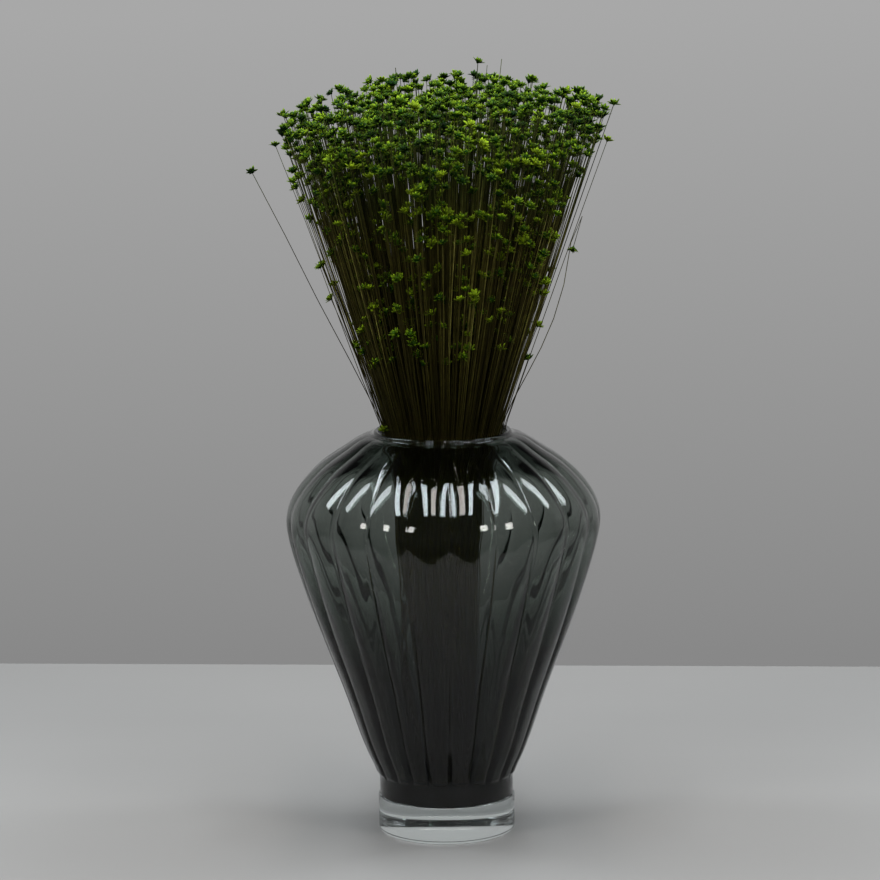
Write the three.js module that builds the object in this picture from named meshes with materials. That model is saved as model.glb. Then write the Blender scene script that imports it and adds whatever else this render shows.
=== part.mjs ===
// Dried glixia in a ribbed vase of smoked glass, on a clear glass foot.
// Millimetres, +Z up. The origin is the centre of the foot's underside.
import * as THREE from 'three';

// Vase: heights from the table, and the outside radius over the lobes' crests
const footHeight = 25;
const footRadius = 43.7;
const footEdge = 2;
const footSides = 44;
const collarTop = 39.5;
const collarRadius = 42.8;
const vaseHeight = 262;
const crestOutline = [
  [45.3, 42.5], [48.5, 49], [62.5, 87], [79, 131], [92.5, 170], [99.2, 194],
  [100.3, 205], [97.6, 216.5], [89.5, 229.5], [76.5, 242], [62, 251.5], [49.5, 258.5],
];
const lobes = 22;
const facetsPerLobe = 4;
const lobeDepth = 0.033;
const firstGroove = THREE.MathUtils.degToRad(2.6);
const lobeEndRise = 3.5;
const heelWall = 11;
const shoulderWall = 2.6;
const heelHeight = 62;
const shoulderHeight = 205;
const lipRadius = 1.8;
const lipCentre = 42.3;
const lipTurns = [-0.1, 0.35, 0.8];
const cavityFloor = 38;
const cavityFloorRadius = 30;

// Bunch: one stem for each head, standing on the floor of the cavity
const stemCount = 360;
const stemRadius = 0.62;
const standingGap = 0.3;
const mouthRadius = 38.4;
const mouthHeight = 258;
const mouthSides = 30;
const tuftRings = [[0, 1], [0.43, 6], [0.8, 12]];
const tuftTurn = 0.25;
const tuftGap = 0.8;
const rootJitter = 0.8;
const bunchOutline = [
  [cavityFloor + standingGap, 0.72], [122, 0.72], [197, 0.74], [230, 0.82], [mouthHeight, 1],
];

// Fan: how far the outermost stems lean out to the sides and to the front and back, and how far
// below the crown the heads come. The crown is highest a little to the right of the middle.
const sideSlope = 0.36;
const frontSlope = 0.3;
const crownHeight = 489;
const crownDrop = 24;
const crownRounding = 2.5;
const crownShift = 4;
const crownDepth = 34;
const sway = 3.5;
const lowShare = 0.34;
const lowDrop = 42;
const lowDepth = 95;
const lowCrowding = 1.6;
const lowSpread = 0.05;

// Heads: a cup of pointed bracts on the stem's tip
const headRadius = 5.3;
const smallestHead = 0.92;
const headSpread = 0.1;
const bracts = 5;
const bractRise = 5.4;
const notchRadius = 3;
const notchRise = 2.8;
const discRise = 5;
const neckDrop = 0.5;
const clearance = 0.35;

// Easing apart: free space round a head, and the share of an overlap that one step clears
const headMargin = 0.2;
const easeRounds = 100;
const headEase = 0.5;
const stemEase = 0.6;

// Heads that stand apart from the rest, in the places where they show best
const strayHeads = [
  [-119, -5, 430],
  [110.6, 0, 470],
  [25, 15, 496],
  [84, -20, 382],
  [-76, -12, 372],
  [-70, -18, 351],
  [55.5, -8, 310],
];
const strayInset = 1.5;

const smokedGlass = new THREE.MeshStandardMaterial({ color: 0x2b302c, roughness: 0.06, metalness: 0 });
const clearGlass = new THREE.MeshStandardMaterial({ color: 0xc9cdcc, roughness: 0.04, metalness: 0 });
const driedGreen = new THREE.MeshStandardMaterial({ color: 0x3f6420, roughness: 0.85, metalness: 0 });

// Repeatable random numbers from 0 to 1
let seed = 20417;
function random() {
  seed = (seed * 16807) % 2147483647;
  return seed / 2147483647;
}

// A solid of revolution about +Z, from [radius, height] points that start and end on the axis
function turned(profile, segments) {
  const points = profile.map(([radius, height]) => new THREE.Vector2(radius, height));
  return new THREE.LatheGeometry(points, segments).rotateX(Math.PI / 2);
}

// Vase body: the crest outline turned, its outside then drawn in between the lobes, with the
// first groove a little to the right of the front
function vaseBody() {
  const crest = new THREE.SplineCurve(crestOutline.map((point) => new THREE.Vector2(...point)));
  const last = crestOutline.length - 1;
  const inside = [];
  for (let i = last; i > 0; i -= 2) {
    const [radius, height] = crestOutline[i];
    const thinning = THREE.MathUtils.smoothstep(height, heelHeight, shoulderHeight);
    const inwards = heelWall + (shoulderWall - heelWall) * thinning + lobeDepth * radius;
    const along = crest.getTangent(i / last);
    inside.push([radius - along.y * inwards, height + along.x * inwards]);
  }
  const lip = [];
  for (const turn of lipTurns) {
    const across = Math.cos(turn * Math.PI);
    const up = Math.sin(turn * Math.PI);
    lip.push([lipCentre + lipRadius * across, vaseHeight - lipRadius + lipRadius * up]);
  }
  const profile = [
    [0, footHeight],
    [collarRadius, footHeight],
    [collarRadius, collarTop],
    ...crestOutline,
    ...lip,
    ...inside,
    [cavityFloorRadius, cavityFloor],
    [0, cavityFloor],
  ];
  const geometry = turned(profile, lobes * facetsPerLobe);
  const place = geometry.attributes.position;
  const firstCrest = profile.indexOf(crestOutline[0]);
  for (let i = 0; i < place.count; i += 1) {
    const row = (i % profile.length) - firstCrest;
    const facet = Math.floor(i / profile.length) % facetsPerLobe;
    if (row >= 0 && row < crestOutline.length) {
      const across = (2 * facet) / facetsPerLobe - 1;
      const scale = 1 - lobeDepth * across * across;
      const rise = row === 0 ? lobeEndRise * across * across : 0;
      place.setXYZ(i, place.getX(i) * scale, place.getY(i) * scale, place.getZ(i) + rise);
    }
  }
  return geometry.rotateZ(firstGroove);
}

// Vase foot: a thick disc with softened edges, its top flat against the body
function vaseFoot() {
  const profile = [
    [0, 0],
    [footRadius - footEdge, 0],
    [footRadius, footEdge],
    [footRadius, footHeight],
    [0, footHeight],
  ];
  return turned(profile, footSides);
}

// Centres of the tufts where they pass the mouth of the vase
function tuftCentres() {
  const centres = [];
  for (const [share, count] of tuftRings) {
    for (let i = 0; i < count; i += 1) {
      const angle = (2 * Math.PI * (i + tuftTurn)) / count;
      const radius = share * mouthRadius;
      centres.push(new THREE.Vector2(radius * Math.cos(angle), radius * Math.sin(angle)));
    }
  }
  return centres;
}

// The part of the mouth that is nearest to one centre, drawn in by an inset from its neighbours
function tuftOutline(centres, own, inset) {
  let outline = [];
  for (let i = 0; i < mouthSides; i += 1) {
    const angle = (2 * Math.PI * i) / mouthSides;
    outline.push(new THREE.Vector2(mouthRadius * Math.cos(angle), mouthRadius * Math.sin(angle)));
  }
  for (const other of centres) {
    if (other === own) {
      continue;
    }
    const across = other.clone().sub(own).normalize();
    const limit = across.dot(other.clone().add(own)) / 2 - inset;
    const kept = [];
    outline.forEach((corner, i) => {
      const next = outline[(i + 1) % outline.length];
      const here = across.dot(corner) - limit;
      const there = across.dot(next) - limit;
      if (here <= 0) {
        kept.push(corner);
      }
      if (here * there < 0) {
        kept.push(corner.clone().lerp(next, here / (here - there)));
      }
    });
    outline = kept;
  }
  return outline;
}

// The one of several places that is closest to a point
function nearestTo(point, places) {
  return places.reduce((best, place) => (place.distanceTo(point) < best.distanceTo(point) ? place : best));
}

// Roots of the stems, spread evenly over the mouth like seeds on a sunflower, inside their tufts
function stemRoots(centres) {
  const goldenAngle = Math.PI * (3 - Math.sqrt(5));
  const margin = tuftGap / 2 + stemRadius + clearance;
  const stems = [];
  for (let i = 0; i < stemCount; i += 1) {
    const radius = (mouthRadius - margin) * Math.sqrt((i + 0.5) / stemCount);
    const root = new THREE.Vector2(radius * Math.cos(i * goldenAngle), radius * Math.sin(i * goldenAngle));
    root.x += (random() - 0.5) * rootJitter;
    root.y += (random() - 0.5) * rootJitter;
    const near = nearestTo(root, centres);
    for (const other of centres) {
      if (other !== near) {
        const across = other.clone().sub(near).normalize();
        const limit = across.dot(other.clone().add(near)) / 2 - margin;
        root.addScaledVector(across, -Math.max(0, across.dot(root) - limit));
      }
    }
    root.clampLength(0, mouthRadius - margin);
    stems.push({ tuft: centres.indexOf(near), root: new THREE.Vector3(root.x, root.y, mouthHeight) });
  }
  return stems;
}

// How many times wider and deeper than in the mouth the fan is at a level
function fanAt(level) {
  const rise = (level - mouthHeight) / mouthRadius;
  return new THREE.Vector2(1 + sideSlope * rise, 1 + frontSlope * rise);
}

// First place of each head: out along the fan, under the crown, and lower on some of the outer stems
function placeHeads(stems) {
  for (const stem of stems) {
    const share = Math.hypot(stem.root.x, stem.root.y) / mouthRadius;
    let drop = crownDepth * random();
    let spread = 1;
    if (random() < lowShare * share ** 3) {
      drop = lowDrop + lowDepth * random() ** lowCrowding;
      spread = 1 + lowSpread * share;
    }
    const fromTop = Math.hypot(stem.root.x - crownShift, stem.root.y) / mouthRadius;
    const level = crownHeight - crownDrop * fromTop ** crownRounding - drop;
    const fan = fanAt(level).multiplyScalar(spread);
    const x = stem.root.x * fan.x + (random() - 0.5) * sway * share;
    const y = stem.root.y * fan.y + (random() - 0.5) * sway * share;
    stem.head = new THREE.Vector3(x, y, level);
    stem.size = headRadius * (smallestHead + headSpread * random());
    stem.turn = random() * 2 * Math.PI;
  }
  for (const [x, y, z] of strayHeads) {
    const aim = new THREE.Vector2(x, y).divide(fanAt(z)).clampLength(0, mouthRadius - strayInset);
    const free = stems.filter((stem) => !stem.stray);
    const root = nearestTo(new THREE.Vector3(aim.x, aim.y, mouthHeight), free.map((stem) => stem.root));
    const nearest = free.find((stem) => stem.root === root);
    nearest.head = new THREE.Vector3(x, y, z);
    nearest.stray = true;
  }
}

// Heads that touch, or that lean on a neighbour's stem, are eased apart in small steps
function easeApart(stems) {
  const reach = headRadius + headMargin;
  const nearestOn = new THREE.Line3();
  const foot = new THREE.Vector3();
  const push = new THREE.Vector3();
  for (let round = 0; round < easeRounds; round += 1) {
    for (const one of stems) {
      for (const two of stems) {
        if (one === two) {
          continue;
        }
        if (one.root.x < two.root.x) {
          push.subVectors(one.head, two.head);
          const short = 2 * reach + clearance - push.length();
          if (short > 0) {
            push.setLength(short * headEase);
            move(one, push, 1);
            move(two, push, -1);
          }
        }
        nearestOn.set(two.root, two.head);
        const share = nearestOn.closestPointToPointParameter(one.head, true);
        nearestOn.at(share, foot);
        push.subVectors(one.head, foot);
        const short = reach + stemRadius + clearance - push.length();
        if (short > 0 && share < 1) {
          push.setLength(short * stemEase);
          move(one, push, 1);
          move(two, push, -share);
        }
      }
    }
  }
}

function move(stem, push, share) {
  if (!stem.stray) {
    stem.head.addScaledVector(push, share);
  }
}

// A skin of triangles that is built ring by ring
class Skin {
  corners = [];
  faces = [];

  ring(points) {
    return points.map((point) => this.corners.push(point) - 1);
  }

  // Joins two rings, whatever their numbers of corners, that start at the same side
  join(low, high) {
    let i = 0;
    let j = 0;
    while (i < low.length || j < high.length) {
      const a = low[i % low.length];
      const b = high[j % high.length];
      if (j >= high.length || (i < low.length && (i + 0.5) / low.length < (j + 0.5) / high.length)) {
        i += 1;
        this.faces.push(a, low[i % low.length], b);
      } else {
        j += 1;
        this.faces.push(a, high[j % high.length], b);
      }
    }
  }

  fan(centre, ring) {
    const hub = this.corners.push(centre) - 1;
    ring.forEach((corner, i) => this.faces.push(hub, corner, ring[(i + 1) % ring.length]));
  }

  // Fills a flat ring, with other rings as holes in it, facing up or down
  cap(ring, holes, facing) {
    const flat = (list) => list.map((i) => new THREE.Vector2(this.corners[i].x, this.corners[i].y));
    const all = [ring, ...holes].flat();
    for (const triangle of THREE.ShapeUtils.triangulateShape(flat(ring), holes.map(flat))) {
      const [a, b, c] = triangle.map((i) => all[i]);
      const turnedOver = THREE.ShapeUtils.area(flat([a, b, c])) * facing < 0;
      this.faces.push(a, turnedOver ? c : b, turnedOver ? b : c);
    }
  }

  geometry() {
    const places = this.corners.flatMap((corner) => corner.toArray());
    const result = new THREE.BufferGeometry();
    result.setAttribute('position', new THREE.Float32BufferAttribute(places, 3));
    result.setIndex(this.faces);
    return result;
  }
}

// Corners round a stem or a head, at a distance and a rise along its direction
function around(centre, direction, turn, count, shape) {
  const level = new THREE.Quaternion().setFromUnitVectors(new THREE.Vector3(0, 0, 1), direction);
  const corners = [];
  for (let i = 0; i < count; i += 1) {
    const angle = turn + (2 * Math.PI * i) / count;
    const [radius, rise] = shape(i);
    const offset = new THREE.Vector3(radius * Math.cos(angle), radius * Math.sin(angle), rise);
    corners.push(offset.applyQuaternion(level).add(centre));
  }
  return corners;
}

// Tuft: a slim packed core inside the vase, and on it the stems, each with its star-shaped head
function tuft(outline, stems) {
  const skin = new Skin();
  const levels = bunchOutline.map(([height, share]) =>
    skin.ring(outline.map((corner) => new THREE.Vector3(corner.x * share, corner.y * share, height))),
  );
  levels.slice(1).forEach((level, i) => skin.join(levels[i], level));
  skin.cap(levels[0], [], -1);
  const upright = new THREE.Vector3(0, 0, 1);
  const roots = stems.map((stem) => {
    const direction = stem.head.clone().sub(stem.root).normalize();
    const low = skin.ring(around(stem.root, upright, stem.turn, 3, () => [stemRadius, 0]));
    const scale = stem.size / headRadius;
    const neck = stem.head.clone().addScaledVector(direction, -neckDrop * bractRise * scale);
    const high = skin.ring(around(neck, direction, stem.turn, 3, () => [stemRadius, 0]));
    const tip = [stem.size, bractRise * scale];
    const notch = [notchRadius * scale, notchRise * scale];
    const cup = around(neck, direction, stem.turn, 2 * bracts, (i) => (i % 2 === 0 ? tip : notch));
    const star = skin.ring(cup);
    skin.join(low, high);
    skin.join(high, star);
    skin.fan(neck.clone().addScaledVector(direction, discRise * scale), star);
    return low;
  });
  skin.cap(levels.at(-1), roots, 1);
  return skin.geometry();
}

const group = new THREE.Group();

function add(name, geometry, material) {
  const mesh = new THREE.Mesh(geometry, material);
  mesh.name = name;
  group.add(mesh);
}

add('vase_body', vaseBody(), smokedGlass);
add('vase_foot', vaseFoot(), clearGlass);

const centres = tuftCentres();
const stems = stemRoots(centres);
placeHeads(stems);
easeApart(stems);
centres.forEach((centre, i) => {
  const own = stems.filter((stem) => stem.tuft === i);
  const name = 'glixia_tuft_' + String(i + 1).padStart(2, '0');
  add(name, tuft(tuftOutline(centres, centre, tuftGap / 2), own), driedGreen);
});

export default group;
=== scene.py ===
"""Dried glixia in a ribbed vase of smoked glass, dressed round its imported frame.

Sizes of the object are in millimetres, those of the table, lights and camera in metres. +Z is up.
"""
import math
import random

import bmesh
import bpy
import numpy as np
from mathutils import Matrix, Vector


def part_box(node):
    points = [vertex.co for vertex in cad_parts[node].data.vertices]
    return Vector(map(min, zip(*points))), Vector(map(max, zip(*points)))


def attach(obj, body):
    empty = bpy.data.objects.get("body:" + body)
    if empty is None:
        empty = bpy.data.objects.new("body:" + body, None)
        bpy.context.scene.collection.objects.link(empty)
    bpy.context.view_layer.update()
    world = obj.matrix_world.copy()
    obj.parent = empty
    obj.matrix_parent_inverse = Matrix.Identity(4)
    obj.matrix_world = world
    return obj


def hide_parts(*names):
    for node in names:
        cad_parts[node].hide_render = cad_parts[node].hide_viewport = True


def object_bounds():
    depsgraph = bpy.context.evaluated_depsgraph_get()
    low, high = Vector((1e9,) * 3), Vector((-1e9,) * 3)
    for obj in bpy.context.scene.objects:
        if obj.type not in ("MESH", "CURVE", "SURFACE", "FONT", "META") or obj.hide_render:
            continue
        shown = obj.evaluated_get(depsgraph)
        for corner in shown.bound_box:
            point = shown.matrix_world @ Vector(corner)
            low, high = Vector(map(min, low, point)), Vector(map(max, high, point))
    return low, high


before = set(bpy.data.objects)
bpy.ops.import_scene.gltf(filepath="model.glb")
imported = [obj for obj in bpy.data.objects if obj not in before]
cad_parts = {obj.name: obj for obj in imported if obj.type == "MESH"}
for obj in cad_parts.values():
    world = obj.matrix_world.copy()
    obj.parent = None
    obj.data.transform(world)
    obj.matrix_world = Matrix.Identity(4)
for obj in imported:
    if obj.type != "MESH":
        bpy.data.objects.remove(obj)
cad_low, cad_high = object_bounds()


# Vase body
# A hollow body of smoke-grey glass with 22 upright lobes, blown into a ribbed mould. The thick
# bottom is a plain collar, and the lobes fade into a round lip at the mouth.
MM = 0.001
body_low, body_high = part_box("vase_body")
BODY_BASE = body_low.z / MM
BODY_TOP = body_high.z / MM
GLASS_GAP = 0.05
COLLAR_RADIUS = 42.8
COLLAR_EDGE = 0.7
COLLAR_EDGE_STEPS = 4
COLLAR_ROWS = (33.0, 37.5)
COLLAR_TOP = 39.0

# The lobes: each groove's depth as a share of the radius, by height, and how sharp the groove is
LOBES = 22
FIRST_GROOVE = math.radians(2.6)
GROOVE_WANDER = math.radians(0.7)
GROOVE_SEED = 5
LOBE_DEPTHS = [
    (40, 0.028), (110, 0.036), (184, 0.038), (212, 0.014), (236, 0.024), (250, 0.018), (262, 0.005),
]
LOW_CRISPNESS = 1.0
TOP_CRISPNESS = 0.45
CRISP_LEVELS = (85.0, 200.0)
GROOVE_POWER = 5.0
GROOVE_ROUNDING = 0.08
GROOVE_CROWDING = 0.85
COLUMNS_PER_LOBE = 24

# The lower ends of the lobes, where they swell out of the collar
LOBE_END_BULGE = 2.5
LOBE_END_HEIGHT = 3.5
LOBE_END_RISE = 3.5
LOBE_END_FADE = 30.0
LOBE_END_TURNS = (0.15, math.pi / 2 - 0.3)
LOBE_END_STEPS = 5

# The outline over the lobes' crests, as (radius, height), and the lip that ends it
CREST = [
    (45.3, 42.5), (48.5, 49), (62.5, 87), (79, 131), (92.5, 170), (99.0, 194), (100.1, 205),
    (97.6, 216.5), (89.5, 229.5), (76.5, 242), (62, 251.5), (49.5, 258.5),
]
CREST_STEPS = 84
LIP_RADIUS = 1.8
LIP_CENTRE = 42.3
LIP_START = -0.1 * math.pi
LIP_STEPS = 10

# The wall, thick at the heel and thin at the shoulder, and the cavity that it leaves
HEEL_WALL = 11.0
HEEL_HEIGHT = 62.0
SHOULDER_WALL = 2.8
SHOULDER_HEIGHT = 208.0
NECK_THICKENING = 3.0
NECK_LEVELS = (238.0, 256.0)
NECK_START = 44.3
NECK_WAIST = (40.8, 258.2)
NECK_STEPS = 5
INSIDE_LOBES = 0.9
INSIDE_LOBE_RADII = (50.0, 80.0)
CAVITY_FLOOR = 38.0
CAVITY_CORNER = [(35.6, 41.6), (33.4, 39.3), (30.5, 38.1)]

SMOKE_TINT = (0.46, 0.51, 0.475)
SMEAR_SHARES = (0.5, 1.5)


def fade(value, start, end):
    """0 before start, 1 after end, and a smooth ramp between them."""
    t = min(max((value - start) / (end - start), 0), 1)
    return t * t * (3 - 2 * t)


def spline(points, steps):
    """Points along the smooth curve of even bending that passes through the given points."""
    points = np.array(points, float)
    chords = np.linalg.norm(np.diff(points, axis=0), axis=1)
    at = np.concatenate([[0.0], np.cumsum(chords)])
    count = len(points)
    matrix = np.zeros((count, count))
    right = np.zeros((count, points.shape[1]))
    matrix[0, 0] = matrix[-1, -1] = 1
    for i in range(1, count - 1):
        matrix[i, i - 1 : i + 2] = chords[i - 1], 2 * (chords[i - 1] + chords[i]), chords[i]
        slopes = np.diff(points[i - 1 : i + 2], axis=0) / chords[i - 1 : i + 1, None]
        right[i] = 6 * (slopes[1] - slopes[0])
    bend = np.linalg.solve(matrix, right)
    curve = []
    for t in np.linspace(0, at[-1], steps):
        i = min(int(np.searchsorted(at, t, side="right")) - 1, count - 2)
        a, b, h = at[i + 1] - t, t - at[i], chords[i]
        curve.append(
            (bend[i] * a**3 + bend[i + 1] * b**3) / (6 * h)
            + (points[i] / h - bend[i] * h / 6) * a
            + (points[i + 1] / h - bend[i + 1] * h / 6) * b
        )
    return np.array(curve)


def creased(u):
    """Depth across one lobe as the mould gives it: 0 on the broad crest, 1 in the narrow groove."""
    u = abs(u)
    edge = 1 - GROOVE_ROUNDING
    depth = 1 / (1 + GROOVE_POWER * GROOVE_ROUNDING / (2 * edge))
    if u < edge:
        return depth * (u / edge) ** GROOVE_POWER
    past = u - edge
    return depth + depth * GROOVE_POWER / edge * (past - past * past / (2 * GROOVE_ROUNDING))


def eased(u):
    """The same where the glass has been blown out into a gentle wave."""
    return (1 - math.cos(math.pi * u)) / 2


def lobing(height):
    """The wave across a lobe at a height: creased low down, and gentler where it is blown out."""
    crisp = LOW_CRISPNESS + (TOP_CRISPNESS - LOW_CRISPNESS) * fade(height, *CRISP_LEVELS)
    return lambda u: eased(u) + (creased(u) - eased(u)) * crisp


def lobe_depth(height):
    """The depth of the grooves at a height, as a share of the radius."""
    depth = LOBE_DEPTHS[0][1]
    for (low, before), (high, after) in zip(LOBE_DEPTHS, LOBE_DEPTHS[1:]):
        depth += (after - before) * fade(height, low, high)
    return depth


def ring(crest, groove, wave):
    """One row of the glass: the crest's and the groove's (radius, height), joined by a wave."""
    def corner(column):
        angle, u = column
        share = wave(u)
        radius = crest[0] + (groove[0] - crest[0]) * share
        height = crest[1] + (groove[1] - crest[1]) * share
        return radius * math.sin(angle), -radius * math.cos(angle), height
    return corner


def plain_ring(radius, height):
    """A round row of the glass, with no lobes."""
    return ring((radius, height), (radius, height), eased)


def rounded_edge(radius, level, width, height, steps):
    """Rows round the edge of a disc, from its flat face at the level out to its side."""
    return [
        plain_ring(radius - width * (1 - math.sin(turn)), level + height * (1 - math.cos(turn)))
        for turn in np.linspace(0, math.pi / 2, steps)
    ]


def lobe_ends():
    """Rows where the lobes swell out of the collar: rounded ends, with the grooves higher up."""
    groove_bulge = CREST[0][0] * (1 - LOBE_DEPTHS[0][1]) - COLLAR_RADIUS
    rows = []
    for turn in np.linspace(*LOBE_END_TURNS, LOBE_END_STEPS):
        out = math.sin(turn)
        height = COLLAR_TOP + LOBE_END_HEIGHT * (1 - math.cos(turn))
        crest = (COLLAR_RADIUS + out * LOBE_END_BULGE, height)
        groove = (COLLAR_RADIUS + out * groove_bulge, height + LOBE_END_RISE)
        rows.append(ring(crest, groove, creased))
    return rows


def inside_rows(crest):
    """Rows of the inside from the lip down, which follow the outside at the wall's thickness."""
    along = np.gradient(crest, axis=0)
    along /= np.linalg.norm(along, axis=1)[:, None]
    inside = []
    for (radius, height), (out, up) in zip(crest, along):
        wall = HEEL_WALL + (SHOULDER_WALL - HEEL_WALL) * fade(height, HEEL_HEIGHT, SHOULDER_HEIGHT)
        wall += NECK_THICKENING * fade(height, *NECK_LEVELS)
        groove = lobe_depth(height) * radius
        wave = INSIDE_LOBES * groove * fade(radius, *INSIDE_LOBE_RADII)
        crest_side, groove_side = [
            (radius - up * reach, height + out * reach) for reach in (wall + groove - wave, wall + groove)
        ]
        if groove_side[0] > NECK_START or height < SHOULDER_HEIGHT:
            inside.append((crest_side, groove_side, lobing(height)))
    lip_inside = (LIP_CENTRE - LIP_RADIUS, BODY_TOP - LIP_RADIUS)
    neck = spline([lip_inside, NECK_WAIST, inside[-1][1]], NECK_STEPS)
    # Every second row is enough inside, where the curves are slow
    return [plain_ring(*point) for point in neck[1:-1]] + [ring(*row) for row in inside[::-2]]


def vase_rows():
    """Rows of the vase from the middle of its underside, up the outside, and down the inside."""
    base = BODY_BASE + GLASS_GAP
    lip = [
        (LIP_CENTRE + LIP_RADIUS * math.cos(turn), BODY_TOP - LIP_RADIUS + LIP_RADIUS * math.sin(turn))
        for turn in np.linspace(LIP_START, math.pi, LIP_STEPS)
    ]
    crest = spline(CREST + lip[:1], CREST_STEPS)
    rows = [(0, 0, base)]
    rows += rounded_edge(COLLAR_RADIUS, base, COLLAR_EDGE, COLLAR_EDGE, COLLAR_EDGE_STEPS)
    rows += [plain_ring(COLLAR_RADIUS, height) for height in COLLAR_ROWS]
    rows += lobe_ends()
    for radius, height in crest[1:-1]:
        lift = LOBE_END_RISE * (1 - fade(height, CREST[0][1], CREST[0][1] + LOBE_END_FADE))
        groove = (radius * (1 - lobe_depth(height)), height + lift)
        rows.append(ring((radius, height), groove, lobing(height)))
    rows += [plain_ring(*point) for point in lip]
    rows += inside_rows(crest)
    rows += [plain_ring(*point) for point in CAVITY_CORNER]
    rows.append((0, 0, CAVITY_FLOOR))
    return rows


def vase_columns():
    """Angle of each column of corners, and its place across its lobe from -1 to 1."""
    draw = random.Random(GROOVE_SEED)
    pitch = 2 * math.pi / LOBES
    grooves = [FIRST_GROOVE + i * pitch + draw.uniform(-1, 1) * GROOVE_WANDER for i in range(LOBES)]
    grooves.append(grooves[0] + 2 * math.pi)
    columns = []
    for left, right in zip(grooves, grooves[1:]):
        for i in range(COLUMNS_PER_LOBE):
            even = 2 * i / COLUMNS_PER_LOBE - 1
            u = (1 - GROOVE_CROWDING) * even + GROOVE_CROWDING * math.sin(even * math.pi / 2)
            columns.append(((left + right) / 2 + u * (right - left) / 2, u))
    return columns


def sleeve(first, rings, sides):
    """Faces that join each ring of corners to the next, where the first ring starts at a corner."""
    faces = []
    for low in range(first, first + (rings - 1) * sides, sides):
        for i in range(sides):
            j = (i + 1) % sides
            faces.append((low + i, low + j, low + sides + j, low + sides + i))
    return faces


def lathe(name, rows, columns):
    """A closed mesh of rows that turn each column into a corner, with a point at both ends."""
    corners = [rows[0]]
    for row in rows[1:-1]:
        corners += [row(column) for column in columns]
    corners.append(rows[-1])
    count = len(columns)
    last = len(corners) - 1
    faces = sleeve(1, len(rows) - 2, count)
    for i in range(count):
        j = (i + 1) % count
        faces += [(0, 1 + j, 1 + i), (last - count + i, last - count + j, last)]
    mesh = bpy.data.meshes.new(name)
    mesh.from_pydata([(x * MM, y * MM, z * MM) for x, y, z in corners], [], faces)
    mesh.shade_smooth()
    return mesh


def place(name, mesh, material, slot, *stands_for):
    """Puts a mesh in the scene as a piece that rides with the vase and hides CAD nodes."""
    piece = bpy.data.objects.new(name, mesh)
    bpy.context.scene.collection.objects.link(piece)
    mesh.materials.append(material)
    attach(piece, "root")
    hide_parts(*stands_for)


def add_node(nodes, kind, values=None, **settings):
    """A shader node of one kind, with its settings and the values on its own sockets."""
    node = nodes.new("ShaderNode" + kind)
    for name, setting in settings.items():
        setattr(node, name, setting)
    for name, value in (values or {}).items():
        node.inputs[name].default_value = value
    return node


def map_range(nodes, low, high, start, end, blend="SMOOTHSTEP"):
    """A node that turns a value between low and high into one between start and end."""
    reach = {"From Min": low, "From Max": high, "To Min": start, "To Max": end}
    return add_node(nodes, "MapRange", reach, interpolation_type=blend)


def new_group(name, inputs, outputs):
    """An empty node group with the named sockets, and its input and output nodes."""
    group = bpy.data.node_groups.new(name, "ShaderNodeTree")
    for way, sockets in (("INPUT", inputs), ("OUTPUT", outputs)):
        for label, kind in sockets.items():
            group.interface.new_socket(label, in_out=way, socket_type="NodeSocket" + kind)
    nodes = group.nodes
    return group, nodes, group.links, nodes.new("NodeGroupInput"), nodes.new("NodeGroupOutput")


def new_material(name):
    """An empty node material and its output node."""
    material = bpy.data.materials.new(name)
    material.use_nodes = True
    nodes = material.node_tree.nodes
    nodes.clear()
    return material, nodes, material.node_tree.links, nodes.new("ShaderNodeOutputMaterial")


def glass_touch_group():
    """Faint smears that blur a glass surface unevenly, and the slow ripple of blown glass."""
    group, nodes, links, given, result = new_group(
        "glass_touch",
        {"Smear": "Float", "Ripple Scale": "Float"},
        {"Roughness": "Float", "Height": "Float"},
    )
    smears = add_node(nodes, "TexNoise", {"Scale": 18, "Detail": 3})
    shares = map_range(nodes, 0, 1, *SMEAR_SHARES, blend="LINEAR")
    smeared = add_node(nodes, "Math", operation="MULTIPLY")
    ripple = add_node(nodes, "TexNoise", {"Detail": 1})
    links.new(smears.outputs["Fac"], shares.inputs["Value"])
    links.new(shares.outputs["Result"], smeared.inputs[0])
    links.new(given.outputs["Smear"], smeared.inputs[1])
    links.new(given.outputs["Ripple Scale"], ripple.inputs["Scale"])
    links.new(smeared.outputs["Value"], result.inputs["Roughness"])
    links.new(ripple.outputs["Fac"], result.inputs["Height"])
    return group


def glass(name, bending, tint, density, smear, ripple_scale, ripple_depth):
    """Glass that is coloured through its thickness, and that lets lamps shine through it."""
    material, nodes, links, output = new_material(name)
    clear = add_node(nodes, "BsdfPrincipled", {
        "Base Color": (1, 1, 1, 1), "Metallic": 0, "Transmission Weight": 1, "IOR": bending,
    })
    touch = add_node(nodes, "Group", node_tree=glass_touch)
    touch.inputs["Smear"].default_value = smear
    touch.inputs["Ripple Scale"].default_value = ripple_scale
    bump = add_node(nodes, "Bump", {"Strength": 1, "Distance": ripple_depth})
    through = add_node(nodes, "BsdfTransparent")
    path = add_node(nodes, "LightPath")
    either = add_node(nodes, "MixShader")
    depth = add_node(nodes, "VolumeAbsorption", {"Color": (*tint, 1), "Density": density})
    links.new(touch.outputs["Roughness"], clear.inputs["Roughness"])
    links.new(touch.outputs["Height"], bump.inputs["Height"])
    links.new(bump.outputs["Normal"], clear.inputs["Normal"])
    links.new(path.outputs["Is Shadow Ray"], either.inputs["Fac"])
    links.new(clear.outputs["BSDF"], either.inputs[1])
    links.new(through.outputs["BSDF"], either.inputs[2])
    links.new(either.outputs["Shader"], output.inputs["Surface"])
    links.new(depth.outputs["Volume"], output.inputs["Volume"])
    return material


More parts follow.
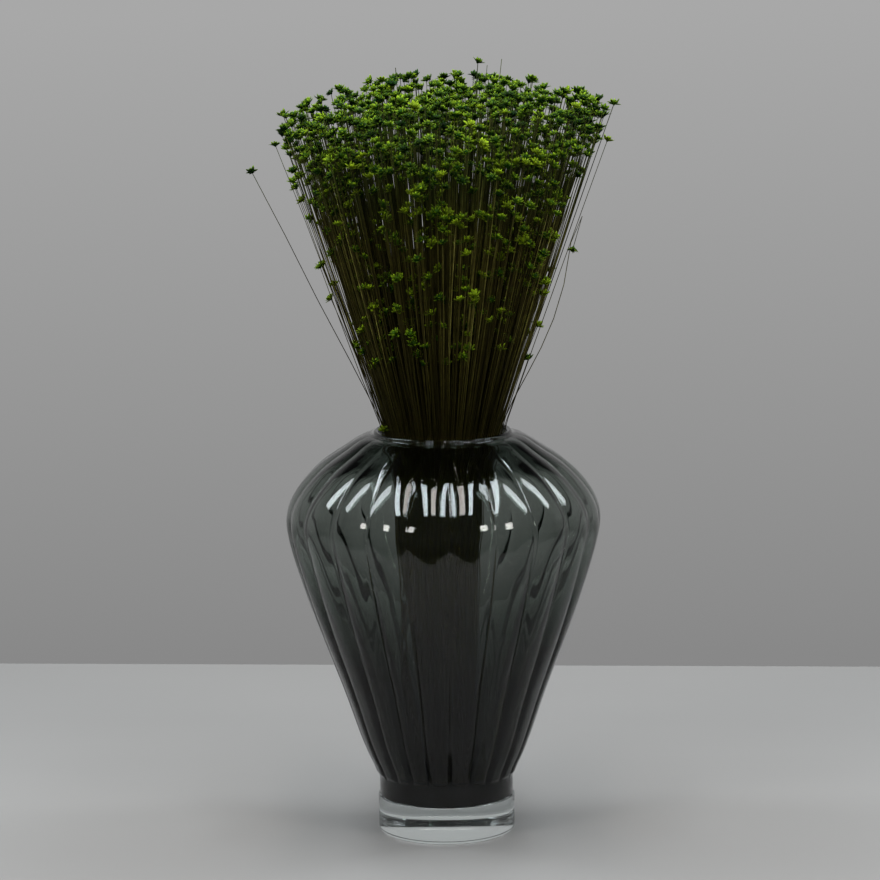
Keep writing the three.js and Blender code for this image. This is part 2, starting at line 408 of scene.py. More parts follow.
glass_touch = glass_touch_group()
smoked_glass = glass(
    "smoked_glass", bending=1.42, tint=SMOKE_TINT, density=410,
    smear=0.02, ripple_scale=9, ripple_depth=0.00015,
)
vase = lathe("vase_body_glass", vase_rows(), vase_columns())
place("vase_body_glass", vase, smoked_glass, "smoked_glass", "vase_body")


# Vase foot
# A thick disc of clear glass under the collar, with a polished underside and softened edges.
# It is fused to the body, so only a hairline parts the two.
foot_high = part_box("vase_foot")[1]
FOOT_RADIUS = foot_high.x / MM
FOOT_TOP = foot_high.z / MM
FOOT_EDGE_WIDTH = 5.7
FOOT_EDGE_HEIGHT = 4.2
FOOT_EDGE_STEPS = 9
FOOT_TOP_EDGE = 0.6
FOOT_TOP_EDGE_STEPS = 5
FOOT_MIDDLE = 0.6 * FOOT_RADIUS
FOOT_COLUMNS = 160
CLEAR_TINT = (0.62, 0.8, 0.78)


def foot_rows():
    """Rows of the foot from the middle of its underside to the middle of its top."""
    rows = [(0, 0, 0), plain_ring(FOOT_MIDDLE, 0)]
    rows += rounded_edge(FOOT_RADIUS, 0, FOOT_EDGE_WIDTH, FOOT_EDGE_HEIGHT, FOOT_EDGE_STEPS)
    rows.append(plain_ring(FOOT_RADIUS, FOOT_TOP / 2))
    rows += rounded_edge(FOOT_RADIUS, FOOT_TOP, FOOT_TOP_EDGE, -FOOT_TOP_EDGE, FOOT_TOP_EDGE_STEPS)[::-1]
    rows += [plain_ring(FOOT_MIDDLE, FOOT_TOP), (0, 0, FOOT_TOP)]
    return rows


clear_glass = glass(
    "clear_glass", bending=1.5, tint=CLEAR_TINT, density=4,
    smear=0.003, ripple_scale=4, ripple_depth=0.00002,
)
foot_columns = [(2 * math.pi * i / FOOT_COLUMNS, 0) for i in range(FOOT_COLUMNS)]
foot = lathe("vase_foot_glass", foot_rows(), foot_columns)
place("vase_foot_glass", foot, clear_glass, "clear_glass", "vase_foot")


# Stems
# Many hundred thin dried stems, put loose into the vase and standing on its glass floor. They run
# down in a slim bundle, fill the mouth and fan out above it. A few have lost their heads.
TUFTS = 19
PLACING_SEED = 31
STEM_SEEDS = 1000
MOUTH = 258.0
MOUTH_RADIUS = 38.4
ABOVE_MOUTH = 0.5
SAME_POINT = 0.00001

# The bundle under the mouth: height, share of a stem's place in the mouth, and shift to the side
BUNDLE = [
    (CAVITY_FLOOR + 0.4, 0.72, -2.0), (122, 0.72, -4.0), (197, 0.74, -3.5), (230, 0.82, -1.2),
    (MOUTH, 1, 0),
]

# The fan: how it widens, its rounded crown, and the heads of the crown and below it
SIDE_SLOPE = 0.36
FRONT_SLOPE = 0.3
CROWN = 489.0
CROWN_DROP = 26.0
CROWN_ROUNDING = 2.2
CROWN_SHIFT = 3.5
CROWN_STEMS = 740
CROWN_DEPTH = 50.0
CROWN_EDGE_LOSS = 0.5
CROWN_EDGE_POWER = 4
CROWN_FLATNESS = 0.86
CROWN_NARROWNESS = 0.96
LOWER_STEMS = 820
LOWER_DEPTHS = (30.0, 158.0)
LOWER_CROWDING = 1.35
LOWER_SHARES = (0.72, 0.97)
LOWER_NARROWNESS = 0.87
HEAD_SPACING = 5.8
HEAD_SCATTER = 1.2
HEAD_REACH = 6.5
NECK_DROP = 2.7
CROWDED_SHARE = 0.02
CLUMPING = 0.7
CLUMP_WIDTH = 2.4
CLUMP_DEPTH = 4.5

# The stray ones: a head that hangs from a bent stem, bare tips, and a head on the rim
HANGING_HEAD = Vector((84, -20, 382))
HANGING_REACH = 4.0
HANGING_BEND = [(82.5, -19.2, 391), (86, -20, 402), (89, -21, 399), (87.5, -21, 390)]
BARE_TIPS = [Vector((39.5, -6, 497)), Vector((30.5, 2, 492.5)), Vector((-27, 8, 491))]
RIM_HEAD = Vector((-36.8, -11.2, 263.5))

STEM_RADIUS = 0.37
STEM_THICKNESSES = (0.8, 1.15)
STEM_TAPER = 0.58
STEM_SIDES = 4
STEM_STEPS = 10
STEM_BOW = 2.2
BOW_PLACES = (0.33, 0.67)
# Painted shade: stems are darkened low down, in the bundle and the vase, to this share of their shade
# below the first level and not at all above the second
PAINTED_SHADE_LOW = 0.3
PAINTED_SHADE_LEVELS = (235.0, 330.0)
GREEN_START = 350.0
GREEN_LENGTH = 75.0
STEM_SHADES = [
    (0, (0.016, 0.014, 0.002)), (0.5, (0.036, 0.032, 0.0055)), (0.82, (0.088, 0.080, 0.015)),
    (1, (0.28, 0.255, 0.06)),
]
STEM_GREENS = [(0, (0.010, 0.018, 0.003)), (1, (0.032, 0.045, 0.006))]
STEM_BLOTCH = (0.025, 0.018, 0.005)

# What stems and heads share: how far the tips' colour reaches, and the blotches and fibres
TIP_REACH = (0.35, 1)
TIP_COVER = 0.85
BLOTCH_LEVELS = (0.42, 0.62)
BLOTCH_COVER = 0.55
FIBRE_STRETCH = (1, 1, 0.12)
FIBRE_DEPTH = 0.0001


def cad_stems():
    """Tuft, root, neck and direction of every stem that the CAD tufts hold, in millimetres."""
    level = (MOUTH + ABOVE_MOUTH) * MM
    found = []
    for number in range(1, TUFTS + 1):
        solid = bmesh.new()
        solid.from_mesh(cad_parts["glixia_tuft_%02d" % number].data)
        bmesh.ops.remove_doubles(solid, verts=solid.verts, dist=SAME_POINT)
        seen = set()
        for first in [v for v in solid.verts if v.co.z > level]:
            if first in seen:
                continue
            # The corners above the mouth that hang together are one stem with its head
            group = [first]
            seen.add(first)
            for corner in group:
                for edge in corner.link_edges:
                    other = edge.other_vert(corner)
                    if other not in seen and other.co.z > level:
                        seen.add(other)
                        group.append(other)
            inner = set(group)
            joined = {v: [e.other_vert(v) for e in v.link_edges] for v in group}
            hub = max(group, key=lambda v: sum(other in inner for other in joined[v]))
            neck = [v for v in group if v is not hub and hub not in joined[v]]
            # A dict keeps the corners below in order, so that each run adds them up alike
            low = dict.fromkeys(other for v in neck for other in joined[v] if other not in inner)
            root = sum((v.co for v in low), Vector()) / len(low) / MM
            tip = sum((v.co for v in neck), Vector()) / len(neck) / MM
            found.append((number, root, tip, (hub.co / MM - tip).normalized()))
        solid.free()
    return found


def more_stems(known):
    """Further stems among those of the CAD tufts, which fill the fan and keep its outline."""
    draw = random.Random(PLACING_SEED)
    heads = np.array([tuple(tip) for _, _, tip, _ in known])
    roots = np.array([tuple(root)[:2] for _, root, _, _ in known])
    added = []

    def add(root, tip):
        """Adds a stem to the tuft that stands nearest to it in the mouth."""
        nearest = int(np.argmin(np.linalg.norm(roots - np.array(root)[:2], axis=1)))
        added.append((known[nearest][0], root, tip, (tip - root).normalized()))

    drop = 0.0
    root = Vector()
    while len(added) < CROWN_STEMS + LOWER_STEMS:
        crown = len(added) < CROWN_STEMS
        beside = draw.random() < CLUMPING
        if beside:
            root = root + Vector((draw.gauss(0, CLUMP_WIDTH), draw.gauss(0, CLUMP_WIDTH), 0))
        else:
            inmost, outmost = LOWER_SHARES
            share = math.sqrt(draw.random() if crown else draw.uniform(inmost**2, outmost**2))
            angle = draw.uniform(0, 2 * math.pi)
            root = Vector((math.cos(angle), math.sin(angle), 0)) * share * MOUTH_RADIUS
            root.x *= CROWN_NARROWNESS if crown else LOWER_NARROWNESS
            root.y *= CROWN_FLATNESS if crown else 1
        root.z = 0
        share = root.length / MOUTH_RADIUS
        first, last = LOWER_DEPTHS
        if crown:
            first, last = 0, CROWN_DEPTH * (1 - CROWN_EDGE_LOSS * share**CROWN_EDGE_POWER)
        if beside:
            drop = drop + draw.gauss(0, CLUMP_DEPTH)
        else:
            drop = first + (last - first) * draw.random() ** LOWER_CROWDING
        if share > 1 or not first <= drop <= last:
            continue
        from_top = math.hypot(root.x - CROWN_SHIFT, root.y) / MOUTH_RADIUS
        level = CROWN - CROWN_DROP * from_top**CROWN_ROUNDING - drop - NECK_DROP
        rise = (level - MOUTH) / MOUTH_RADIUS
        tip = Vector((root.x * (1 + SIDE_SLOPE * rise), root.y * (1 + FRONT_SLOPE * rise), level))
        tip.x += draw.gauss(0, HEAD_SCATTER)
        tip.y += draw.gauss(0, HEAD_SCATTER)
        if abs(tip.x) > cad_high.x / MM - HEAD_REACH or abs(tip.y) > cad_high.y / MM - HEAD_REACH:
            continue
        crowded = np.min(np.linalg.norm(heads - np.array(tip), axis=1)) < HEAD_SPACING
        if crowded and draw.random() > CROWDED_SHARE:
            continue
        heads = np.vstack([heads, tuple(tip)])
        root.z = MOUTH
        add(root, tip)
    for tip in BARE_TIPS + [RIM_HEAD]:
        rise = max(tip.z - MOUTH, 0) / MOUTH_RADIUS
        add(Vector((tip.x / (1 + SIDE_SLOPE * rise), tip.y / (1 + FRONT_SLOPE * rise), MOUTH)), tip)
    return added


def hangs(tip):
    """Whether a stem's tip is that of the hanging head."""
    return (tip - HANGING_HEAD).length < HANGING_REACH


def stem_path(root, tip, draw):
    """The line of one stem from the floor of the vase, through the mouth, to the head."""
    points = [(root.x * share + aside, root.y * share, level) for level, share, aside in BUNDLE]
    if hangs(tip):
        return spline(points + HANGING_BEND + [tuple(tip)], 2 * STEM_STEPS)
    turn = draw.uniform(0, 2 * math.pi)
    bow = draw.uniform(-1, 1) * STEM_BOW
    for part in BOW_PLACES:
        middle = root.lerp(tip, part)
        aside = bow * math.sin(math.pi * part)
        points.append((middle.x + aside * math.cos(turn), middle.y + aside * math.sin(turn), middle.z))
    points.append(tuple(tip))
    return spline(points, STEM_STEPS)


def tube(path, radius):
    """Corners and faces of a closed tube along a path, which tapers to its end."""
    along = np.gradient(path, axis=0)
    along /= np.linalg.norm(along, axis=1)[:, None]
    side = np.cross(along, (1.0, 0.0, 0.0))
    side /= np.linalg.norm(side, axis=1)[:, None]
    other = np.cross(along, side)
    turns = np.linspace(0, 2 * math.pi, STEM_SIDES, endpoint=False)
    girth = radius * np.linspace(1, STEM_TAPER, len(path))
    corners = (
        path[:, None]
        + girth[:, None, None] * np.cos(turns)[None, :, None] * side[:, None]
        + girth[:, None, None] * np.sin(turns)[None, :, None] * other[:, None]
    ).reshape(-1, 3)
    start = tuple(range(STEM_SIDES))
    end = tuple(range(len(corners) - STEM_SIDES, len(corners)))
    return corners, [start[::-1], *sleeve(0, len(path), STEM_SIDES), end]


def stem_part(root, tip, draw):
    """One stem, with its own shade, painted shade that darkens it in the vase, and its green reach below
    the head.
    """
    path = stem_path(root, tip, draw)
    corners, faces = tube(path, STEM_RADIUS * draw.uniform(*STEM_THICKNESSES))
    drawn = draw.random()
    # Painted shade: each stem's shade is darkened low down in the vase
    shade = [drawn * (PAINTED_SHADE_LOW + (1 - PAINTED_SHADE_LOW) * fade(z, *PAINTED_SHADE_LEVELS)) for z in path[:, 2]]
    reach = np.clip((path[:, 2] - GREEN_START) / GREEN_LENGTH, 0, 1)
    return corners, faces, np.repeat(np.stack([shade, reach], axis=1), STEM_SIDES, axis=0)


def gather(parts):
    """Several parts as one: their corners, their faces and the marks of each corner."""
    corners, faces, marks = [], [], []
    start = 0
    for part_corners, part_faces, part_marks in parts:
        corners.append(part_corners)
        faces += [tuple(start + i for i in face) for face in part_faces]
        marks.append(part_marks)
        start += len(part_corners)
    return np.concatenate(corners), faces, np.concatenate(marks)


def fuse(name, parts):
    """One mesh of several parts, whose marks are a shade and a reach for each corner."""
    corners, faces, marks = gather(parts)
    mesh = bpy.data.meshes.new(name)
    mesh.from_pydata((corners * MM).tolist(), [], faces)
    for label, values in zip(("shade", "reach"), marks.T):
        layer = mesh.attributes.new(label, "FLOAT", "POINT")
        layer.data.foreach_set("value", np.ascontiguousarray(values, dtype=np.float32))
    mesh.shade_smooth()
    return mesh


def dried_mottle_group():
    """Blotches and fine fibres that make a dyed, dried surface uneven."""
    group, nodes, links, given, result = new_group(
        "dried_mottle",
        {
            "Colour": "Color", "Blotch": "Color", "Blotch Scale": "Float", "Fibre Scale": "Float",
            "Amount": "Float",
        },
        {"Colour": "Color", "Height": "Float"},
    )
    where = add_node(nodes, "TexCoord")
    blotches = add_node(nodes, "TexNoise", {"Detail": 2})
    fibres = add_node(nodes, "TexNoise", {"Detail": 3})
    stretched = add_node(nodes, "Mapping", {"Scale": FIBRE_STRETCH})
    cover = map_range(nodes, *BLOTCH_LEVELS, 0, 1, blend="LINEAR")
    covered = add_node(nodes, "Math", operation="MULTIPLY")
    mixed = add_node(nodes, "Mix", data_type="RGBA")
    links.new(where.outputs["Object"], blotches.inputs["Vector"])
    links.new(where.outputs["Object"], stretched.inputs["Vector"])
    links.new(stretched.outputs["Vector"], fibres.inputs["Vector"])
    links.new(given.outputs["Blotch Scale"], blotches.inputs["Scale"])
    links.new(given.outputs["Fibre Scale"], fibres.inputs["Scale"])
    links.new(blotches.outputs["Fac"], cover.inputs["Value"])
    links.new(cover.outputs["Result"], covered.inputs[0])
    links.new(given.outputs["Amount"], covered.inputs[1])
    links.new(covered.outputs["Value"], mixed.inputs["Factor"])
    links.new(given.outputs["Colour"], mixed.inputs["A"])
    links.new(given.outputs["Blotch"], mixed.inputs["B"])
    links.new(mixed.outputs["Result"], result.inputs["Colour"])
    links.new(fibres.outputs["Fac"], result.inputs["Height"])
    return group


def shade_ramp(nodes, stops):
    """A colour ramp through stops of (position, colour), the first at 0 and the last at 1."""
    ramp = add_node(nodes, "ValToRGB")
    elements = ramp.color_ramp.elements
    for position, _ in stops[1:-1]:
        elements.new(position)
    for element, (_, colour) in zip(elements, stops):
        element.color = (*colour, 1)
    return ramp


def dried(name, shades, tips, blotch, blotch_scale, fibre_scale, roughness):
    """A matt dried surface: its own shade from stem to stem, which also carries painted shade and painted
    light, other tips, blotches and fibres.
    """
    material, nodes, links, output = new_material(name)
    surface = add_node(nodes, "BsdfPrincipled", {"Roughness": roughness, "Specular IOR Level": 0.06})
    # The shade mark holds each part's own tone, with painted shade on low stems and painted light on low
    # heads
    shade = add_node(nodes, "Attribute", attribute_name="shade")
    reach = add_node(nodes, "Attribute", attribute_name="reach")
    own = shade_ramp(nodes, shades)
    tip = shade_ramp(nodes, tips)
    how_far = map_range(nodes, *TIP_REACH, 0, TIP_COVER)
    tipped = add_node(nodes, "Mix", data_type="RGBA")
    mottle = add_node(nodes, "Group", node_tree=dried_mottle)
    mottle.inputs["Blotch"].default_value = (*blotch, 1)
    mottle.inputs["Blotch Scale"].default_value = blotch_scale
    mottle.inputs["Fibre Scale"].default_value = fibre_scale
    mottle.inputs["Amount"].default_value = BLOTCH_COVER
    bump = add_node(nodes, "Bump", {"Distance": FIBRE_DEPTH})
    links.new(shade.outputs["Fac"], own.inputs["Fac"])
    links.new(shade.outputs["Fac"], tip.inputs["Fac"])
    links.new(reach.outputs["Fac"], how_far.inputs["Value"])
    links.new(how_far.outputs["Result"], tipped.inputs["Factor"])
    links.new(own.outputs["Color"], tipped.inputs["A"])
    links.new(tip.outputs["Color"], tipped.inputs["B"])
    links.new(tipped.outputs["Result"], mottle.inputs["Colour"])
    links.new(mottle.outputs["Colour"], surface.inputs["Base Color"])
    links.new(mottle.outputs["Height"], bump.inputs["Height"])
    links.new(bump.outputs["Normal"], surface.inputs["Normal"])
    links.new(surface.outputs["BSDF"], output.inputs["Surface"])
    return material


dried_mottle = dried_mottle_group()
stem_olive = dried(
    "stem_olive", STEM_SHADES, STEM_GREENS, STEM_BLOTCH,
    blotch_scale=220, fibre_scale=900, roughness=0.65,
)
stems = cad_stems()
stems += more_stems(stems)
for number in range(1, TUFTS + 1):
    draw = random.Random(STEM_SEEDS + number)
    parts = [stem_part(root, tip, draw) for tuft, root, tip, _ in stems if tuft == number]
    name = "stems_%02d" % number
    place(name, fuse(name, parts), stem_olive, "glixia_stem", "glixia_tuft_%02d" % number)


# Heads
# Each stem carries one dried flower head: a rosette of stiff pointed bracts, dyed green, round a
# small dense centre. No two are alike, so a few patterns are turned, tilted and sized for each.
HEAD_SEEDS = 2000
HEAD_PATTERNS = 8
PATTERN_SEED = 50
PATTERN_RADIUS = 5.3
HEAD_RADIUS = 5.2
HEAD_SIZES = (0.84, 1.06)
HEAD_LEAN = 0.6 * math.tan(math.radians(34))
HANGING_FACE = Vector((-0.25, -0.15, -1)).normalized()

# The centre: rings of (radius, height), and how uneven they are
DOME_RINGS = [(0.45, -1.0), (1.5, 0.4), (1.7, 1.7), (1.0, 2.6)]
DOME_TOP = 3.0
DOME_SIDES = 6
DOME_WIDTHS = (0.82, 1.18)
DOME_BUMP = 0.15
DOME_TIP_START = 0.5
DOME_REACHES = (0.25, 0.35)
DOME_TOP_REACH = 0.4

# The bracts' blades: share of the length, share of the width, and thickness of the keel
OUTER_BLADE = [(0.0, 0.45, 0.4), (0.35, 1.0, 0.34), (0.72, 0.7, 0.2)]
INNER_BLADE = [(0.0, 0.5, 0.36), (0.5, 0.95, 0.28)]
BLADE_SIDES = 3
BRACT_WANDER = 0.25

# The two whorls: bracts, turn of the first, lengths, widths, lifts, curls, root's radius, blade
WHORLS = [
    (8, 0.0, (4.0, 4.9), (2.2, 3.0), (8, 40), (-12, 22), 0.7, OUTER_BLADE),
    (6, 0.5, (3.3, 4.2), (1.7, 2.3), (42, 66), (-5, 12), 0.6, INNER_BLADE),
]

MIDDLE_SHADE = 0.5
SHADE_SPREAD = 0.22
PALEST_SHADE = 0.95
# Painted light: heads low in the fan get a paler shade, fully below the first level and not at all above
# the second
LOW_HEADS_PAINTED_LIGHT = 0.38
PAINTED_LIGHT_LEVELS = (385.0, 475.0)
HEAD_SHADES = [
    (0, (0.0015, 0.008, 0.0012)), (0.3, (0.0028, 0.017, 0.0008)), (0.6, (0.009, 0.042, 0.001)),
    (0.85, (0.045, 0.10, 0.002)), (1, (0.14, 0.19, 0.004)),
]
HEAD_TIPS = [(0, (0.009, 0.068, 0.003)), (1, (0.34, 0.50, 0.012))]
HEAD_BLOTCH = (0.006, 0.016, 0.001)


def cone(first, sides):
    """Faces from a ring of corners to the corner that comes after it."""
    return [(first + i, first + (i + 1) % sides, first + sides) for i in range(sides)]


def bract(length, width, turn, lift, curl, foot, blade):
    """A pointed bract that leans out from the head's centre: a closed blade with a keel below."""
    out = np.array([math.cos(turn), math.sin(turn), 0])
    across = np.array([-math.sin(turn), math.cos(turn), 0])
    up = np.array([0, 0, 1])
    corners, marks = [], []
    for share, wide, thick in blade:
        bend = lift + curl * share
        centre = out * (foot + length * share * math.cos(bend)) + up * length * share * math.sin(bend)
        normal = up * math.cos(bend) - out * math.sin(bend)
        half = width * wide / 2
        corners += [centre - across * half, centre - normal * thick, centre + across * half]
        marks += [share] * BLADE_SIDES
    bend = lift + curl
    corners.append(out * (foot + length * math.cos(bend)) + up * length * math.sin(bend))
    marks.append(1.0)
    last = BLADE_SIDES * (len(blade) - 1)
    faces = [(2, 1, 0), *sleeve(0, len(blade), BLADE_SIDES), *cone(last, BLADE_SIDES)]
    return np.array(corners), faces, marks


def dome(draw):
    """The dense centre of a head: a small bumpy dome, closed below where it meets the stem."""
    corners, marks = [], []
    for radius, height in DOME_RINGS:
        for i in range(DOME_SIDES):
            turn = 2 * math.pi * i / DOME_SIDES
            wide = radius * draw.uniform(*DOME_WIDTHS)
            bump = draw.uniform(-DOME_BUMP, DOME_BUMP)
            corners.append((wide * math.cos(turn), wide * math.sin(turn), height + bump))
            marks.append(draw.uniform(*DOME_REACHES) if height > DOME_TIP_START else 0.0)
    corners.append((0, 0, DOME_TOP))
    marks.append(DOME_TOP_REACH)
    rings = len(DOME_RINGS)
    under = tuple(range(DOME_SIDES))[::-1]
    faces = [under, *sleeve(0, rings, DOME_SIDES), *cone((rings - 1) * DOME_SIDES, DOME_SIDES)]
    return np.array(corners), faces, marks


def head_pattern(seed):
    """Corners, faces and reach of one rosette, which stands on the origin and faces up."""
    draw = random.Random(seed)
    parts = [dome(draw)]
    for count, first, lengths, widths, lifts, curls, foot, blade in WHORLS:
        for i in range(count):
            turn = 2 * math.pi * (i + first + draw.uniform(-BRACT_WANDER, BRACT_WANDER)) / count
            lift = math.radians(draw.uniform(*lifts))
            curl = math.radians(draw.uniform(*curls))
            length = draw.uniform(*lengths)
            parts.append(bract(length, draw.uniform(*widths), turn, lift, curl, foot, blade))
    return gather(parts)


def head_part(tip, direction, draw):
    """One head on its stem's tip: a pattern with its own lean, turn, size and shade, paler low in the fan
    as painted light.
    """
    corners, faces, reach = patterns[draw.randrange(HEAD_PATTERNS)]
    lean = Vector((draw.gauss(0, HEAD_LEAN), draw.gauss(0, HEAD_LEAN), 0))
    face = HANGING_FACE if hangs(tip) else (direction + lean).normalized()
    spin = Matrix.Rotation(draw.uniform(0, 2 * math.pi), 3, "Z")
    size = draw.uniform(*HEAD_SIZES) * HEAD_RADIUS / PATTERN_RADIUS
    turned = np.array(face.to_track_quat("Z", "Y").to_matrix() @ spin)
    # Painted light: the lower heads are made paler
    painted_light = LOW_HEADS_PAINTED_LIGHT * (1 - fade(tip.z, *PAINTED_LIGHT_LEVELS))
    own = min(max(draw.gauss(MIDDLE_SHADE + painted_light, SHADE_SPREAD), 0), PALEST_SHADE)
    placed = corners @ turned.T * size + np.array(tip)
    return placed, faces, np.stack([np.full(len(corners), own), reach], axis=1)


glixia_green = dried(
    "glixia_green", HEAD_SHADES, HEAD_TIPS, HEAD_BLOTCH,
    blotch_scale=260, fibre_scale=1200, roughness=0.6,
)
patterns = [head_pattern(PATTERN_SEED + i) for i in range(HEAD_PATTERNS)]
for number in range(1, TUFTS + 1):
    draw = random.Random(HEAD_SEEDS + number)
    parts = [
        head_part(tip, direction, draw)
        for tuft, _, tip, direction in stems if tuft == number and tip not in BARE_TIPS
    ]
    name = "heads_%02d" % number
    place(name, fuse(name, parts), glixia_green, "glixia_head", "glixia_tuft_%02d" % number)


# Table
# A plain pale tabletop that the vase stands on. Its far edge shows behind the vase, and its near
# edge is out of the picture but mirrors in the glass.
TABLE_HALF_WIDTH = 1.5
TABLE_BACK = 0.477
TABLE_FRONT = -0.40
TABLE_TOP = -0.0004
TABLE_THICKNESS = 0.03
TABLE_EDGE = 0.0015
TABLE_TURN = math.radians(-3.8)
TABLE_DARK = (0.233, 0.2235, 0.218, 1)
TABLE_PALE = (0.250, 0.240, 0.234, 1)

table_finish, nodes, links, output = new_material("table_top")
surface = add_node(nodes, "BsdfPrincipled", {"Roughness": 0.6, "Specular IOR Level": 0.3})
grain = add_node(nodes, "TexNoise", {"Scale": 6, "Detail": 4})
tone = add_node(nodes, "Mix", {"A": TABLE_DARK, "B": TABLE_PALE}, data_type="RGBA")
links.new(grain.outputs["Fac"], tone.inputs["Factor"])
links.new(tone.outputs["Result"], surface.inputs["Base Color"])
links.new(surface.outputs["BSDF"], output.inputs["Surface"])

table_size = (2 * TABLE_HALF_WIDTH, TABLE_BACK - TABLE_FRONT, TABLE_THICKNESS)
table_middle = (0, (TABLE_BACK + TABLE_FRONT) / 2, TABLE_TOP - TABLE_THICKNESS / 2)
slab = bmesh.new()
bmesh.ops.create_cube(slab, size=1)
bmesh.ops.scale(slab, vec=table_size, verts=slab.verts)
bmesh.ops.translate(slab, vec=table_middle, verts=slab.verts)
bmesh.ops.bevel(slab, geom=slab.edges[:], offset=TABLE_EDGE, segments=2, affect="EDGES")
table_mesh = bpy.data.meshes.new("table")
slab.to_mesh(table_mesh)
slab.free()
table_mesh.materials.append(table_finish)
table = bpy.data.objects.new("table", table_mesh)
table.rotation_euler = (0, 0, TABLE_TURN)
bpy.context.scene.collection.objects.link(table)


# Light
# Three long soft panels overhead, cool, warm and cool, one panel high up on each side, and a small
# lamp in front to either side. The wall behind glows, darker towards the table. The front is dark.
COOL = (0.86, 0.95, 1.0)
WARM = (1.0, 0.93, 0.88)
PANELS = [(-0.44, COOL, 17.0), (0.0, WARM, 11.0), (0.44, COOL, 17.0)]
PANEL_HEIGHT = 1.75
PANEL_Y = -0.25
PANEL_SIZE = (0.23, 1.7)
SIDE_PANELS = [-1.4, 1.4]
SIDE_PANEL_Y = 0.25
SIDE_PANEL_SIZE = (0.36, 1.1)
SIDE_PANEL_AIM = (0, 0, 0.2)
SIDE_COLOUR = (0.88, 0.96, 1.0)
SIDE_GLOW = 12.0
LAMP_AZIMUTHS = [math.radians(-42), math.radians(42)]
LAMP_ELEVATION = math.radians(27)
LAMP_DISTANCE = 1.6
LAMP_AIM = Vector((0, 0, 0.21))
LAMP_SIZE = (0.3, 0.3)
LAMP_COLOUR = (1.0, 0.98, 0.94)
LAMP_GLOW = 18.0

# The wall's tone, by how steeply down it is seen, and how dim the room is in front and overhead
WALL_SLOPES = (math.sin(math.radians(-12.72)), math.sin(math.radians(-4.49)))
WALL_TONES = (0.246, 0.392)
FRONT_TO_BACK = (-0.1, 0.4)
FRONT_DIMNESS = 0.03
OVERHEAD_TO_LEVEL = (0.6, 0.3)
OVERHEAD_DIMNESS = 0.08


def soft_light(name, at, aim, size, colour, glow):
    """A rectangular lamp that faces a point. The camera doesn't see it, but glass mirrors it."""
    lamp = bpy.data.lights.new(name, "AREA")
    lamp.shape = "RECTANGLE"
    lamp.size, lamp.size_y = size
    lamp.color = colour
    lamp.energy = glow * math.pi * size[0] * size[1]
    holder = bpy.data.objects.new(name, lamp)
    holder.location = at
    holder.rotation_euler = (Vector(aim) - Vector(at)).to_track_quat("-Z", "Y").to_euler()
    holder.visible_camera = False
    bpy.context.scene.collection.objects.link(holder)


for i, (x, colour, glow) in enumerate(PANELS, 1):
    soft_light("panel_%d" % i, (x, PANEL_Y, PANEL_HEIGHT), (x, PANEL_Y, 0), PANEL_SIZE, colour, glow)
for i, x in enumerate(SIDE_PANELS, 1):
    at = (x, SIDE_PANEL_Y, PANEL_HEIGHT)
    soft_light("side_panel_%d" % i, at, SIDE_PANEL_AIM, SIDE_PANEL_SIZE, SIDE_COLOUR, SIDE_GLOW)
for i, azimuth in enumerate(LAMP_AZIMUTHS, 1):
    level = math.cos(LAMP_ELEVATION)
    toward = (math.sin(azimuth) * level, -math.cos(azimuth) * level, math.sin(LAMP_ELEVATION))
    at = LAMP_AIM + Vector(toward) * LAMP_DISTANCE
    soft_light("lamp_%d" % i, at, LAMP_AIM, LAMP_SIZE, LAMP_COLOUR, LAMP_GLOW)

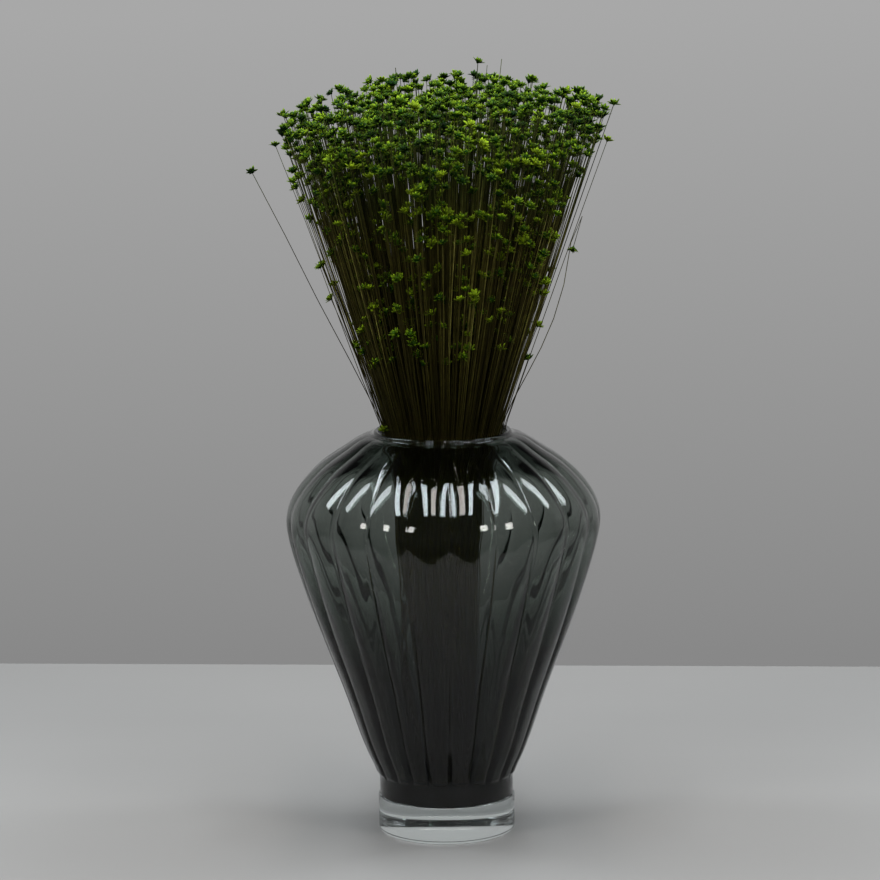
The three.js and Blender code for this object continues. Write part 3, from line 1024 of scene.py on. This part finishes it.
# The camera sees the plain wall, also through the glass. Lit surfaces and mirrors see the room.
world = bpy.data.worlds.new("room")
bpy.context.scene.world = world
world.use_nodes = True
nodes, links = world.node_tree.nodes, world.node_tree.links
nodes.clear()
output = nodes.new("ShaderNodeOutputWorld")
where = add_node(nodes, "TexCoord")
split = add_node(nodes, "SeparateXYZ")
wall = map_range(nodes, *WALL_SLOPES, *WALL_TONES, blend="LINEAR")
behind = map_range(nodes, *FRONT_TO_BACK, FRONT_DIMNESS, 1)
below = map_range(nodes, *OVERHEAD_TO_LEVEL, OVERHEAD_DIMNESS, 1)
lit = add_node(nodes, "Math", operation="MULTIPLY")
room = add_node(nodes, "Math", operation="MULTIPLY")
path = add_node(nodes, "LightPath")
seen = add_node(nodes, "Math", operation="MAXIMUM")
wall_glow = add_node(nodes, "Background")
room_glow = add_node(nodes, "Background", {"Color": (1, 1, 1, 1)})
choose = add_node(nodes, "MixShader")
links.new(where.outputs["Generated"], split.inputs["Vector"])
links.new(split.outputs["Z"], wall.inputs["Value"])
links.new(split.outputs["Z"], below.inputs["Value"])
links.new(split.outputs["Y"], behind.inputs["Value"])
links.new(below.outputs["Result"], lit.inputs[0])
links.new(behind.outputs["Result"], lit.inputs[1])
links.new(wall.outputs["Result"], room.inputs[0])
links.new(lit.outputs["Value"], room.inputs[1])
links.new(wall.outputs["Result"], wall_glow.inputs["Color"])
links.new(room.outputs["Value"], room_glow.inputs["Strength"])
links.new(path.outputs["Is Camera Ray"], seen.inputs[0])
links.new(path.outputs["Is Transmission Ray"], seen.inputs[1])
links.new(seen.outputs["Value"], choose.inputs["Fac"])
links.new(room_glow.outputs["Background"], choose.inputs[1])
links.new(wall_glow.outputs["Background"], choose.inputs[2])
links.new(choose.outputs["Shader"], output.inputs["Surface"])


# Camera
# It looks down a little at the vase from 2.8 m with a long lens, and leans a touch to the right.
# The focal length is given in pixels of the picture, which is 880 wide.
CAMERA_AT = (-0.0017, -2.8, 0.747)
CAMERA_PITCH = math.radians(9.97)
CAMERA_ROLL = math.radians(-0.645)
PICTURE_WIDTH = 880
FOCAL_PIXELS = 4476
SENSOR_WIDTH = 36

lens = bpy.data.cameras.new("camera")
lens.sensor_fit = "HORIZONTAL"
lens.sensor_width = SENSOR_WIDTH
lens.lens = SENSOR_WIDTH * FOCAL_PIXELS / PICTURE_WIDTH
camera = bpy.data.objects.new("camera", lens)
bpy.context.scene.collection.objects.link(camera)
ahead = Vector((0, math.cos(CAMERA_PITCH), -math.sin(CAMERA_PITCH)))
look = ahead.to_track_quat("-Z", "Y").to_matrix() @ Matrix.Rotation(CAMERA_ROLL, 3, "Z")
camera.location = CAMERA_AT
camera.rotation_mode = "XYZ"
camera.rotation_euler = look.to_euler()
bpy.context.scene.camera = camera
bpy.context.scene.view_settings.view_transform = "Standard"
